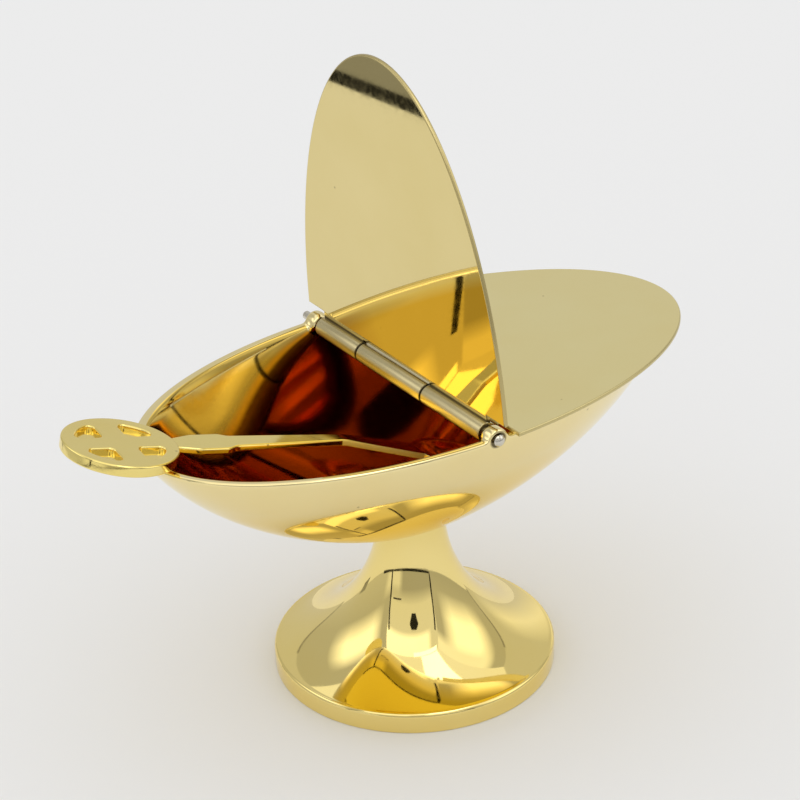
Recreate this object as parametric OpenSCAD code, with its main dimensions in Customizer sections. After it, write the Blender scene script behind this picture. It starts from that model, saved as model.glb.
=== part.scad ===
// Incense boat: an oval brass bowl on a trumpet foot, half covered by a fixed
// plate, half by a hinged lid, with a loose spoon that lies in it.
// Millimetres. +X runs along the boat to the fixed cover's tip, -X to the lid's
// tip, -Y is the front, +Z is up. The origin is under the foot's centre.

/* [Bowl] */
// Length of the bowl over its rim
bowl_length = 131.5; // [122:0.5:142]
// Width of the bowl over its rim
bowl_width = 72.6; // [66:0.2:78]
// Depth of the bowl outside, from the rim to the keel
bowl_depth = 37.8; // [34:0.2:42]
// Thickness of the bowl's wall
bowl_wall = 2.2; // [1.6:0.1:2.8]
// Lean of the wall at the rim, in degrees from upright
rim_lean = 18; // [12:1:22]
// Lean of the wall where the keel's round begins, in degrees
keel_lean = 56; // [51:1:61]
// Bevel on the rim's two edges
rim_bevel = 0.5; // [0.2:0.1:0.7]
// Height of the rim above the table
rim_height = 73; // [67:0.2:80]

/* [Foot] */
// Diameter of the foot on the table
foot_diameter = 65; // [58:0.2:72]
// Height of the upright band round the foot
band_height = 5; // [3.5:0.1:8]
// Rounding of the band's upper edge
band_round = 1; // [0.4:0.1:1.5]
// Diameter of the neck where it is slimmest
neck_diameter = 15.6; // [14.4:0.2:19]
// Thickness of the foot's wall
foot_wall = 2.4; // [1.6:0.1:2.6]
// Thickness of the web that closes the neck under the bowl
web_thickness = 6; // [4:0.5:8]

/* [Foot fixing] */
// Diameter of the stud under the bowl
stud_diameter = 5; // [4:0.5:5]
// Free length of the stud below the nut
stud_end = 1.5; // [0.5:0.25:3]
// Clearance round the stud in the web and the washer
stud_clearance = 0.25; // [0.1:0.05:0.4]
// Diameter of the washer
washer_diameter = 10; // [9:0.5:11]
// Thickness of the washer
washer_thickness = 1; // [0.6:0.1:1.5]
// Width of the nut across its flats
nut_flats = 8; // [7:0.5:9]
// Height of the nut
nut_height = 4; // [3:0.5:5]
// Clearance round the stud in the nut
nut_clearance = 0.05; // [0.02:0.01:0.1]

/* [Cover and lid] */
// Reach of the fixed cover from the hinge line to its tip
cover_reach = 72.6; // [69:0.2:78]
// Reach of the lid from the hinge line to its tip
lid_reach = 75; // [70:0.2:80]
// Width of the cover and the lid
plate_width = 76.2; // [74.8:0.2:84]
// Thickness of the cover and the lid
plate_thickness = 1; // [0.8:0.1:1.6]
// Rounding of the plates' edges
plate_round = 0.35; // [0.2:0.05:0.6]
// Angle that the lid stands open, from closed
lid_open = 86.4; // [20:0.1:140]

/* [Hinge] */
// Distance of the hinge line from the foot's centre, towards the lid
hinge_offset = 1.2; // [0:0.1:3]
// Height of the plates' middle above the hinge pin
hinge_rise = 0.8; // [0.6:0.1:1.2]
// Diameter of the hinge's barrel
knuckle_diameter = 4.7; // [4.2:0.1:5.2]
// Length of the cover's knuckle in the middle
cover_knuckle_length = 25; // [16:0.5:32]
// Shift of the cover's knuckle towards the back
cover_knuckle_shift = 2.5; // [0:0.25:4]
// Gap between neighbouring knuckles
knuckle_gap = 0.25; // [0.15:0.05:0.5]
// Gap between the barrel and the ears
ear_gap = 1.2; // [0.2:0.1:2]
// Diameter of the hinge pin
pin_diameter = 2; // [1.6:0.1:2.4]
// Running clearance of the knuckles on the pin, on the radius
pin_clearance = 0.05; // [0.02:0.01:0.1]
// Clearance of the pin in the ears, on the radius
ear_hole_clearance = 0.02; // [0.01:0.01:0.05]
// Diameter of the pin's domed head at the front
pin_head_diameter = 2.7; // [2.5:0.1:3.6]
// Height of the domed head
pin_head_height = 0.8; // [0.5:0.1:1.2]
// How far the pin's plain end stands out at the back
pin_end = 3.2; // [0.5:0.1:5]
// Bevel of the plain end
pin_bevel = 0.4; // [0.2:0.1:0.5]
// Radius of the ears round the pin
ear_radius = 2.5; // [2.2:0.1:3]
// Fillet between an ear and the rim
ear_fillet = 1.5; // [1:0.1:3]
// Thickness of an ear
ear_thickness = 3.4; // [2.3:0.1:4]
// Depth of an ear's root below the pin
ear_root = 3; // [2:0.25:5]
// Clearance of the plates past the ears' fillets
ear_clearance = 0.2; // [0.1:0.05:0.5]
// Gap between a plate's straight edge and the barrel
plate_gap = 0.45; // [0.3:0.05:0.8]

/* [Spoon] */
// Diameter of the spoon's medallion
medallion_diameter = 24.8; // [22:0.1:28]
// Thickness of the medallion
medallion_thickness = 2.5; // [2:0.1:3.2]
// Rounding of the medallion's edges
medallion_round = 0.3; // [0.1:0.05:0.5]
// Width of the ring round the cross
ring_width = 2.9; // [1.2:0.1:3.2]
// Width of the cross's arms
arm_width = 5.4; // [3:0.1:6]
// Depth of the four sunk fields between the arms
field_depth = 1.1; // [0.5:0.1:1.4]
// Rounding of the fields' corners
field_round = 1.2; // [0.3:0.1:1.4]
// Distance of the medallion's centre from the foot's centre
medallion_distance = 69.4; // [66:0.2:74]
// Shift of the medallion towards the back
medallion_shift = 2.6; // [0:0.1:5]
// Slope of the handle into the bowl, in degrees
spoon_slope = 14.3; // [11:0.1:17]
// Turn of the spoon towards the front, in degrees
spoon_turn = 5.4; // [0:0.1:8]
// Thickness of the handle
handle_thickness = 1.5; // [1:0.1:1.8]
// Width of the handle where it leaves the medallion
neck_width = 4.6; // [3.6:0.1:5.6]
// Width of the handle's shoulder
shoulder_width = 7.6; // [6:0.1:9]
// Length over which the handle widens to the shoulder
shoulder_rise = 5; // [3:0.25:7]
// Length from the medallion to the shoulder's end
shoulder_length = 11.5; // [8:0.5:14]
// Length over which the shoulder narrows
shoulder_taper = 2; // [1:0.25:5]
// Width of the handle next to the shoulder
handle_width = 5.4; // [4:0.1:5.8]
// Width of the handle where it bends down
waist_width = 3.4; // [2.4:0.1:3.9]
// Distance of the bend from the medallion's centre
bend_distance = 52; // [46:0.5:56]
// Radius inside the bend
bend_radius = 12; // [6:0.5:20]
// Length of the handle's tail between the bend and the spoon's bowl
tail_length = 18; // [15:0.5:21]
// Width of the tail at the spoon's bowl
tail_width = 6; // [4:0.1:8]
// Length of the spoon's bowl
dish_length = 28; // [25:0.5:31]
// Width of the spoon's bowl
dish_width = 18; // [15:0.5:21]
// Depth of the spoon's bowl
dish_depth = 5.5; // [4:0.25:6.5]
// Wall of the spoon's bowl
dish_wall = 1.2; // [0.8:0.1:1.6]
// Clearance under the spoon where it lies on the rim and in the bowl
spoon_clearance = 0.3; // [0.2:0.05:0.5]

/* [Hidden] */
$fn = 96;
margin = 1;
brass = [0.83, 0.69, 0.35];
steel = [0.72, 0.72, 0.72];

// Bowl: each section is a side arc and a keel arc that meet in a tangent
half_length = bowl_length / 2;
half_width = bowl_width / 2;
keel_height = rim_height - bowl_depth;
arc_det = (cos(rim_lean) - cos(keel_lean)) * (1 - sin(keel_lean))
    - cos(keel_lean) * (sin(keel_lean) - sin(rim_lean));
side_radius = (half_width * (1 - sin(keel_lean)) - bowl_depth * cos(keel_lean)) / arc_det;
keel_radius = (bowl_depth * (cos(rim_lean) - cos(keel_lean))
    - half_width * (sin(keel_lean) - sin(rim_lean))) / arc_det;
keel_centre = keel_radius - bowl_depth;
side_centre = [half_width - side_radius * cos(rim_lean), side_radius * sin(rim_lean)];
inner_side = side_radius - bowl_wall;
inner_keel = keel_radius - bowl_wall;
inner_half_width = side_centre[0] + sqrt(pow(inner_side, 2) - pow(side_centre[1], 2));
inner_half_length = half_length - (half_width - inner_half_width);

// Foot: one hollow arc from the band to the slim neck
foot_radius = foot_diameter / 2;
neck_radius = neck_diameter / 2;
edge_radius = foot_radius - band_round;
seat_rise = keel_radius - sqrt(pow(keel_radius, 2) - pow(neck_radius, 2));
waist_height = keel_height + seat_rise + margin;
flare_run = edge_radius - neck_radius;
flare_rise = waist_height - band_height;
flare_radius = (pow(flare_run, 2) + pow(flare_rise, 2)) / (2 * flare_run);
flare_centre = [neck_radius + flare_radius, waist_height];
web_bottom = keel_height - web_thickness;
washer_bottom = web_bottom - washer_thickness;
nut_bottom = washer_bottom - nut_height;
stud_bottom = nut_bottom - stud_end;

// Hinge
pin_height = rim_height + plate_thickness / 2 - hinge_rise;
pin_radius = pin_diameter / 2;
knuckle_radius = knuckle_diameter / 2;
rim_over_pin = rim_height - pin_height;
ear_reach = sqrt(pow(ear_radius + ear_fillet, 2) - pow(rim_over_pin + ear_fillet, 2));
ear_back = half_width - ear_thickness;
barrel_half = ear_back - ear_gap;
plate_start = ear_reach + ear_clearance;
plate_edge = knuckle_radius + plate_gap;
plate_half = plate_width / 2;
middle_front = cover_knuckle_shift - cover_knuckle_length / 2;
middle_back = cover_knuckle_shift + cover_knuckle_length / 2;

// Spoon: its height comes from the rim that it lies on
medallion_radius = medallion_diameter / 2;
handle_step = (medallion_thickness - handle_thickness) / 2;
field_radius = medallion_radius - ring_width;
shoulder_end = medallion_radius + shoulder_length;
dish_half = dish_width / 2;
dish_stretch = dish_length / dish_width;
dish_radius = (pow(dish_half, 2) + pow(dish_depth, 2)) / (2 * dish_depth);
dish_offset = tail_length + dish_length / 2;
spoon_along = [cos(spoon_turn), -sin(spoon_turn)];
medallion_spot = [-medallion_distance, medallion_shift];
rim_spots = [for (side = [[half_length, half_width], [inner_half_length, inner_half_width]],
    a = [-45:0.5:45]) [-side[0] * cos(a), side[1] * sin(a)]];
under_spots = [for (p = rim_spots) if (norm(p - medallion_spot) < medallion_radius) p];
rim_lift = max([for (p = under_spots) (p - medallion_spot) * spoon_along]) * tan(spoon_slope);
medallion_height = rim_height + spoon_clearance + medallion_thickness / cos(spoon_slope) + rim_lift;

// Height of the bowl's floor under a point
function floor_height(p) =
    let (r = min(norm([p[0] * inner_half_width / inner_half_length, p[1]]), inner_half_width))
    r < inner_keel * cos(keel_lean)
        ? rim_height + keel_centre - sqrt(pow(inner_keel, 2) - r * r)
        : rim_height + side_centre[1] - sqrt(pow(inner_side, 2) - pow(r - side_centre[0], 2));

// A point of the spoon, from its own length, width and height to the boat
function spoon_point(l, w, h) =
    let (along = l * cos(spoon_slope) + h * sin(spoon_slope))
    [medallion_spot[0] + along * cos(spoon_turn) + w * sin(spoon_turn),
     medallion_spot[1] - along * sin(spoon_turn) + w * cos(spoon_turn),
     medallion_height - l * sin(spoon_slope) + h * cos(spoon_slope)];

// A point of the spoon's bowl, where the handle bends down by an angle
bend_centre = [bend_distance, -handle_step - handle_thickness - bend_radius];
bend_outer = bend_radius + handle_thickness;
function dish_point(bend, u, w, h) = spoon_point(
    bend_centre[0] + u * cos(bend) + (bend_outer + h) * sin(bend),
    w,
    bend_centre[1] - u * sin(bend) + (bend_outer + h) * cos(bend));

// Least height of the spoon's bowl over the floor, at a bend
dish_under = [for (a = [0:15:345], b = [5:10:85]) [
    dish_offset + dish_stretch * dish_radius * sin(b) * cos(a),
    dish_radius * sin(b) * sin(a),
    dish_radius - dish_depth - dish_radius * cos(b)]];
dish_skin = [for (p = dish_under) if (p[2] < 0) p];
function dish_gap(bend) = min([for (p = dish_skin)
    let (q = dish_point(bend, p[0], p[1], p[2])) q[2] - floor_height(q)]);
function settle(low, high, turns) =
    let (mid = (low + high) / 2)
    turns == 0 ? mid
        : dish_gap(mid) > spoon_clearance ? settle(mid, high, turns - 1) : settle(low, mid, turns - 1);
bend_steps = 8;
dome_steps = 12;
bend_least = 0.5;
bend_most = 40;
bend_angle = settle(bend_least, bend_most, 14);

// A half section turned about Z and stretched along X into an oval. It is made
// in quarters, which keeps each curved face short.
module oval_turn(stretch) {
    for (turn = [0:90:270])
        scale([stretch, 1, 1])
            rotate([0, 0, turn])
                rotate_extrude(angle = 90)
                    children();
}

// Half section of the bowl's outside, with the rim at height 0 and its edge bevelled
module outer_section() {
    difference() {
        hull_section(side_radius, keel_radius);
        polygon([
            [half_width - rim_bevel, 0],
            [half_width + margin, 0],
            [half_width + margin, -rim_bevel - margin]
        ]);
    }
}

// Half section of the bowl's inside, which opens out at the rim's bevel
module inner_section() {
    hull_section(inner_side, inner_keel);
    polygon([
        [inner_half_width - margin, 0],
        [inner_half_width + rim_bevel, 0],
        [inner_half_width - margin, -rim_bevel - margin]
    ]);
}

// Half section bounded by a side arc and a keel arc
module hull_section(side, keel) {
    reach = 3 * keel;
    joint = [reach * cos(keel_lean), keel_centre - reach * sin(keel_lean)];
    intersection() {
        translate(side_centre)
            circle(r = side, $fn = 2 * $fn);
        polygon([
            [0, 0],
            [half_width + margin, 0],
            [half_width + margin, joint[1]],
            joint,
            [0, keel_centre]
        ]);
    }
    intersection() {
        translate([0, keel_centre])
            circle(r = keel);
        translate([0, keel_centre - keel - margin])
            square(keel + margin);
    }
}

// The bowl's outside as a full solid
module bowl_outside() {
    translate([0, 0, rim_height])
        oval_turn(half_length / half_width)
            outer_section();
}

module bowl_inside() {
    translate([0, 0, rim_height])
        oval_turn(inner_half_length / inner_half_width)
            inner_section();
}

// Outline of an ear round the pin, with fillets down to the rim
module ear_outline() {
    meet = ear_radius / (ear_radius + ear_fillet);
    meet_x = ear_reach * meet;
    meet_z = (rim_over_pin + ear_fillet) * meet;
    circle(r = ear_radius);
    difference() {
        polygon([
            [-ear_reach, -ear_root],
            [ear_reach, -ear_root],
            [ear_reach, rim_over_pin],
            [meet_x, meet_z],
            [-meet_x, meet_z],
            [-ear_reach, rim_over_pin]
        ]);
        for (side = [-1, 1])
            translate([side * ear_reach, rim_over_pin + ear_fillet])
                circle(r = ear_fillet);
    }
}

// Both ears, trimmed to the oval of the rim
module ears() {
    intersection() {
        for (side = [-1, 1])
            translate([-hinge_offset, side * (half_width - ear_thickness / 2), pin_height])
                rotate([90, 0, 0])
                    linear_extrude(height = ear_thickness, center = true)
                        ear_outline();
        union() {
            bowl_trim();
            translate([0, 0, rim_height - margin])
                scale([half_length / half_width, 1, 1])
                    cylinder(r = half_width, h = margin + 2 * ear_radius);
        }
    }
}

// The bowl's outside without the rim's bevel
module bowl_trim() {
    translate([0, 0, rim_height])
        oval_turn(half_length / half_width)
            hull_section(side_radius, keel_radius);
}

// A bar along the hinge's axis between two places
module axis_bar(radius, front, back) {
    translate([-hinge_offset, back, pin_height])
        rotate([90, 0, 0])
            cylinder(r = radius, h = back - front);
}

module bowl() {
    color(brass)
        difference() {
            union() {
                difference() {
                    bowl_outside();
                    bowl_inside();
                }
                ears();
            }
            axis_bar(pin_radius + ear_hole_clearance, -half_width - margin, half_width + margin);
        }
}

module bowl_stud() {
    color(brass)
        difference() {
            translate([0, 0, stud_bottom])
                cylinder(d = stud_diameter, h = waist_height - stud_bottom);
            bowl_outside();
        }
}

// Half section of the foot's outside
module foot_section() {
    intersection() {
        difference() {
            square([foot_radius, waist_height]);
            translate(flare_centre)
                circle(r = flare_radius, $fn = 2 * $fn);
        }
        union() {
            square([foot_radius, band_height - band_round]);
            square([edge_radius, waist_height]);
            translate([edge_radius, band_height - band_round])
                circle(r = band_round);
        }
    }
}

module foot() {
    color(brass)
        difference() {
            rotate_extrude()
                foot_section();
            difference() {
                translate([0, 0, -margin])
                    rotate_extrude()
                        foot_hollow();
                translate([0, 0, web_bottom])
                    cylinder(r = foot_radius, h = waist_height);
            }
            translate([0, 0, web_bottom - margin])
                cylinder(d = stud_diameter + 2 * stud_clearance, h = waist_height);
            bowl_outside();
        }
}

// Half section of the hollow under the foot, a margin deeper than the table
module foot_hollow() {
    difference() {
        square([foot_radius - foot_wall, waist_height + margin]);
        translate(flare_centre + [0, margin])
            circle(r = flare_radius + foot_wall, $fn = 2 * $fn);
    }
}

module foot_washer() {
    color(steel)
        translate([0, 0, washer_bottom])
            difference() {
                cylinder(d = washer_diameter, h = washer_thickness);
                translate([0, 0, -margin])
                    cylinder(d = stud_diameter + 2 * stud_clearance, h = washer_thickness + 2 * margin);
            }
}

module foot_nut() {
    color(steel)
        translate([0, 0, nut_bottom])
            difference() {
                cylinder(d = nut_flats / cos(30), h = nut_height, $fn = 6);
                translate([0, 0, -margin])
                    cylinder(d = stud_diameter + 2 * nut_clearance, h = nut_height + 2 * margin);
            }
}

// An oval plate with a rounded edge, centred on the hinge's axis
module oval_plate(reach) {
    top = plate_thickness / 2;
    round = min(plate_round, top);
    scale([reach / plate_half, 1, 1])
        rotate_extrude() {
            translate([0, -top])
                square([plate_half - round, plate_thickness]);
            translate([0, round - top])
                square([plate_half, plate_thickness - 2 * round]);
            for (side = [-1, 1])
                translate([plate_half - round, side * (top - round)])
                    circle(r = round);
        }
}

// The half of an oval on the -X side of the hinge, with a straight edge along
// the barrel that is cut back further past the ears
module half_plate(reach) {
    translate([0, 0, hinge_rise])
        difference() {
            oval_plate(reach);
            translate([-plate_edge, -plate_half - margin, -plate_thickness])
                cube([reach + plate_edge + margin, plate_width + 2 * margin, 2 * plate_thickness]);
            for (front = [-plate_half - margin, barrel_half])
                translate([-plate_start, front, -plate_thickness])
                    cube([plate_start, plate_half + margin - barrel_half, 2 * plate_thickness]);
        }
}

// The part of a plate that runs up to its own knuckle
module tongue(front, back) {
    translate([0, 0, hinge_rise])
        difference() {
            translate([-plate_edge - margin, front, -plate_thickness / 2])
                cube([plate_edge + margin, back - front, plate_thickness]);
            translate([0, back + margin, -hinge_rise])
                rotate([90, 0, 0])
                    cylinder(r = knuckle_radius, h = back - front + 2 * margin);
            translate([-pin_radius, front - margin, -plate_thickness])
                cube([pin_radius + margin, back - front + 2 * margin, 2 * plate_thickness]);
        }
}

module knuckle(front, back) {
    difference() {
        axis_bar(knuckle_radius, front, back);
        axis_bar(pin_radius + pin_clearance, front - margin, back + margin);
    }
}

module at_hinge() {
    translate([-hinge_offset, 0, pin_height])
        children();
}

module fixed_cover() {
    color(brass)
        at_hinge()
            mirror([1, 0, 0]) {
                half_plate(cover_reach);
                tongue(middle_front, middle_back);
            }
}

module cover_knuckle() {
    color(brass)
        knuckle(middle_front, middle_back);
}

module lid() {
    color(brass)
        at_hinge()
            rotate([0, lid_open, 0]) {
                half_plate(lid_reach);
                tongue(-barrel_half, middle_front - knuckle_gap);
                tongue(middle_back + knuckle_gap, barrel_half);
            }
}

module lid_knuckle_back() {
    color(brass)
        knuckle(middle_back + knuckle_gap, barrel_half);
}

module lid_knuckle_front() {
    color(brass)
        knuckle(-barrel_half, middle_front - knuckle_gap);
}

// Half section of the pin along its length: a domed head in front, a plain end
module pin_section() {
    head = pin_head_diameter / 2;
    dome = (pow(head, 2) + pow(pin_head_height, 2)) / (2 * pin_head_height);
    span = asin(head / dome);
    back = 2 * half_width + pin_end;
    turns = [for (i = [0:dome_steps]) span * i / dome_steps];
    arc = [for (a = turns) [dome * sin(a), dome - pin_head_height - dome * cos(a)]];
    polygon(concat(arc, [
        [pin_radius, 0],
        [pin_radius, back - pin_bevel],
        [pin_radius - pin_bevel, back],
        [0, back]
    ]));
}

module hinge_pin() {
    color(steel)
        translate([-hinge_offset, -half_width, pin_height])
            rotate([-90, 0, 0])
                rotate_extrude()
                    pin_section();
}

// Places a piece of the spoon where it lies in the boat
module in_boat() {
    translate([medallion_spot[0], medallion_spot[1], medallion_height])
        rotate([0, 0, -spoon_turn])
            rotate([0, spoon_slope, 0])
                children();
}

// One sunk field: a quarter of the disc inside the ring, with round corners
module field() {
    inset = arm_width / 2 + field_round;
    reach = field_radius - field_round;
    far = sqrt(pow(reach, 2) - pow(inset, 2));
    intersection() {
        circle(r = field_radius);
        translate([inset, inset - field_round])
            square([far - inset, field_radius]);
    }
    intersection() {
        circle(r = field_radius);
        translate([inset - field_round, inset])
            square([field_radius, far - inset]);
    }
    for (corner = [[inset, inset], [far, inset], [inset, far]])
        translate(corner)
            circle(r = field_round);
}

// The medallion's rounded disc, with its top at height 0
module medallion_disc() {
    round = medallion_round;
    translate([0, 0, -medallion_thickness])
        rotate_extrude() {
            square([medallion_radius - round, medallion_thickness]);
            translate([0, round])
                square([medallion_radius, medallion_thickness - 2 * round]);
            for (level = [round, medallion_thickness - round])
                translate([medallion_radius - round, level])
                    circle(r = round);
        }
}

module spoon_medallion() {
    color(brass)
        in_boat()
            difference() {
                medallion_disc();
                for (turn = [0:90:270])
                    rotate([0, 0, turn])
                        translate([0, 0, -field_depth])
                            linear_extrude(height = field_depth + margin)
                                field();
            }
}

// Side view of the handle: flat, bent down in an arc, then a straight tail
module handle_side() {
    start = medallion_radius - margin;
    turns = [for (i = [0:bend_steps]) bend_angle * i / bend_steps];
    upper = [for (a = turns) bend_centre + bend_outer * [sin(a), cos(a)]];
    lower = [for (a = turns) bend_centre + bend_radius * [sin(a), cos(a)]];
    tail = (tail_length + dish_length / 4) * [cos(bend_angle), -sin(bend_angle)];
    polygon(concat(
        [[start, upper[0][1]]],
        upper,
        [upper[bend_steps] + tail, lower[bend_steps] + tail],
        [for (i = [bend_steps:-1:0]) lower[i]],
        [[start, lower[0][1]]]
    ));
}

// Top view of the handle
module handle_top() {
    end = bend_distance + tail_length + dish_length / 2;
    side = [
        [0, neck_width / 2],
        [medallion_radius, neck_width / 2],
        [medallion_radius + shoulder_rise, shoulder_width / 2],
        [shoulder_end, shoulder_width / 2],
        [shoulder_end + shoulder_taper, handle_width / 2],
        [bend_distance, waist_width / 2],
        [bend_distance + tail_length, tail_width / 2],
        [end, tail_width / 2]
    ];
    other = [for (i = [len(side) - 1:-1:0]) [side[i][0], -side[i][1]]];
    polygon(concat(side, other));
}

// Places the spoon's own bowl at the end of the bent tail
module at_dish() {
    translate([bend_centre[0], 0, bend_centre[1]])
        rotate([0, bend_angle, 0])
            translate([dish_offset, 0, bend_outer])
                children();
}

// Half section of the spoon's bowl, up to a height over its rim
module dish_section(radius, top) {
    intersection() {
        translate([0, dish_radius - dish_depth])
            circle(r = radius, $fn = 2 * $fn);
        translate([0, -dish_radius])
            square([dish_radius, dish_radius + top]);
    }
}

// The spoon's bowl as a full solid, up to a height over its rim
module dish_outside(top) {
    oval_turn(dish_stretch)
        dish_section(dish_radius, top);
}

// The hollow of the spoon's bowl
module dish_inside() {
    oval_turn((dish_length - 2 * dish_wall) / (dish_width - 2 * dish_wall))
        dish_section(dish_radius - dish_wall, margin);
}

module spoon_handle() {
    height = 2 * (bend_outer + tail_length);
    color(brass)
        in_boat()
            difference() {
                intersection() {
                    rotate([90, 0, 0])
                        linear_extrude(height = shoulder_width + margin, center = true)
                            handle_side();
                    translate([0, 0, -height])
                        linear_extrude(height = height + margin)
                            handle_top();
                }
                medallion_disc();
                at_dish()
                    dish_outside(margin);
            }
}

module spoon_bowl() {
    color(brass)
        in_boat()
            at_dish()
                difference() {
                    dish_outside(0);
                    dish_inside();
                }
}

bowl();
bowl_stud();
foot();
foot_washer();
foot_nut();
fixed_cover();
cover_knuckle();
hinge_pin();
lid();
lid_knuckle_back();
lid_knuckle_front();
spoon_medallion();
spoon_handle();
spoon_bowl();
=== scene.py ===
"""Looks of the incense boat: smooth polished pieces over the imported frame, in a light tent."""
import math

import bmesh
import bpy
from mathutils import Matrix, Vector


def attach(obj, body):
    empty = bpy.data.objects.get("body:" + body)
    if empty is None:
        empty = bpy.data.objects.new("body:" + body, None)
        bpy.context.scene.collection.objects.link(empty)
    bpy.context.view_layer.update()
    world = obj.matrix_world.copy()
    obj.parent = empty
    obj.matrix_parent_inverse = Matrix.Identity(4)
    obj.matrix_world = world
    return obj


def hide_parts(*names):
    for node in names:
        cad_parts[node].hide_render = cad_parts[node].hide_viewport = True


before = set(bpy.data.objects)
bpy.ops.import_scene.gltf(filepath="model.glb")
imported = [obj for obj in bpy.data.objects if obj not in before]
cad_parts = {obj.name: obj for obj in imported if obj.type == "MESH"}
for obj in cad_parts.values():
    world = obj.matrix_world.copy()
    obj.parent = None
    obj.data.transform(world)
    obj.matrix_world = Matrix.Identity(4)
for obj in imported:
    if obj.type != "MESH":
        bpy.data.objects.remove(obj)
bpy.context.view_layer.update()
scene = bpy.context.scene

# Driving sizes of the part's source in millimetres and degrees, some of them halved
MM = 0.001
RIM_HEIGHT = 73.0
HALF_LENGTH = 65.75
HALF_WIDTH = 36.3
BOWL_DEPTH = 37.8
WALL = 2.2
RIM_LEAN = 18.0
KEEL_LEAN = 56.0
FOOT_RADIUS = 32.5
FOOT_WALL = 2.4
BAND_HEIGHT = 5.0
BAND_ROUND = 1.0
NECK_RADIUS = 7.8
NECK_MARGIN = 1.0
WEB_THICK = 6.0
STUD_RADIUS = 2.5
STUD_CLEARANCE = 0.25
STUD_END = 1.5
WASHER_THICK = 1.0
NUT_HIGH = 4.0
COVER_REACH = 72.6
LID_REACH = 75.0
LID_OPEN = 86.4
PLATE_HALF = 38.1
PLATE_THICK = 1.0
PLATE_ROUND = 0.35
PLATE_RISE = 0.8
PLATE_GAP = 0.45
HINGE_OFFSET = 1.2
KNUCKLE_RADIUS = 2.35
KNUCKLE_GAP = 0.25
MIDDLE_LENGTH = 25.0
MIDDLE_SHIFT = 2.5
PIN_RADIUS = 1.0
PIN_CLEARANCE = 0.05
PIN_HEAD_RADIUS = 1.35
PIN_HEAD_HIGH = 0.8
PIN_END = 3.2
PIN_BEVEL = 0.4
EAR_RADIUS = 2.5
EAR_FILLET = 1.5
EAR_THICK = 3.4
EAR_GAP = 1.2
EAR_CLEARANCE = 0.2
MEDALLION_RADIUS = 12.4
MEDALLION_THICK = 2.5
MEDALLION_SPOT = Vector((-69.4, 2.6))
RING_WIDTH = 2.9
ARM_WIDTH = 5.4
FIELD_DEPTH = 1.1
FIELD_ROUND = 1.2
SPOON_SLOPE = 14.3
SPOON_TURN = 5.4
SPOON_CLEARANCE = 0.3
HANDLE_THICK = 1.5
NECK_WIDTH = 4.6
SHOULDER_WIDTH = 7.6
SHOULDER_RISE = 5.0
SHOULDER_LENGTH = 11.5
SHOULDER_TAPER = 2.0
HANDLE_WIDTH = 5.4
WAIST_WIDTH = 3.4
BEND_AT = 52.0
BEND_RADIUS = 12.0
TAIL_LENGTH = 18.0
TAIL_WIDTH = 6.0
DISH_LENGTH = 28.0
DISH_WIDTH = 18.0
DISH_DEPTH = 5.5
DISH_WALL = 1.2
# The part's source finds this bend, which sets the spoon's bowl just over the hull's floor
BEND_ANGLE = 9.759

# Sizes worked out from these, by the rules of the part's source
rim_cos = math.cos(math.radians(RIM_LEAN))
rim_sin = math.sin(math.radians(RIM_LEAN))
keel_cos = math.cos(math.radians(KEEL_LEAN))
keel_sin = math.sin(math.radians(KEEL_LEAN))
arc_det = (rim_cos - keel_cos) * (1 - keel_sin) - keel_cos * (keel_sin - rim_sin)
SIDE_RADIUS = (HALF_WIDTH * (1 - keel_sin) - BOWL_DEPTH * keel_cos) / arc_det
KEEL_RADIUS = (BOWL_DEPTH * (rim_cos - keel_cos) - HALF_WIDTH * (keel_sin - rim_sin)) / arc_det
SIDE_CENTRE = (HALF_WIDTH - SIDE_RADIUS * rim_cos, RIM_HEIGHT + SIDE_RADIUS * rim_sin)
KEEL_CENTRE = (0.0, RIM_HEIGHT + KEEL_RADIUS - BOWL_DEPTH)
INNER_WIDTH = SIDE_CENTRE[0] + math.sqrt((SIDE_RADIUS - WALL) ** 2 - (SIDE_RADIUS * rim_sin) ** 2)
INNER_LENGTH = HALF_LENGTH - (HALF_WIDTH - INNER_WIDTH)

KEEL_HEIGHT = RIM_HEIGHT - BOWL_DEPTH
WEB_BOTTOM = KEEL_HEIGHT - WEB_THICK
STUD_BOTTOM = WEB_BOTTOM - WASHER_THICK - NUT_HIGH - STUD_END
FOOT_EDGE = FOOT_RADIUS - BAND_ROUND
seat_rise = KEEL_RADIUS - math.sqrt(KEEL_RADIUS ** 2 - NECK_RADIUS ** 2)
waist_height = KEEL_HEIGHT + seat_rise + NECK_MARGIN
flare_run = FOOT_EDGE - NECK_RADIUS
FLARE_RADIUS = (flare_run ** 2 + (waist_height - BAND_HEIGHT) ** 2) / (2 * flare_run)
FLARE_CENTRE = (NECK_RADIUS + FLARE_RADIUS, waist_height)

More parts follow.
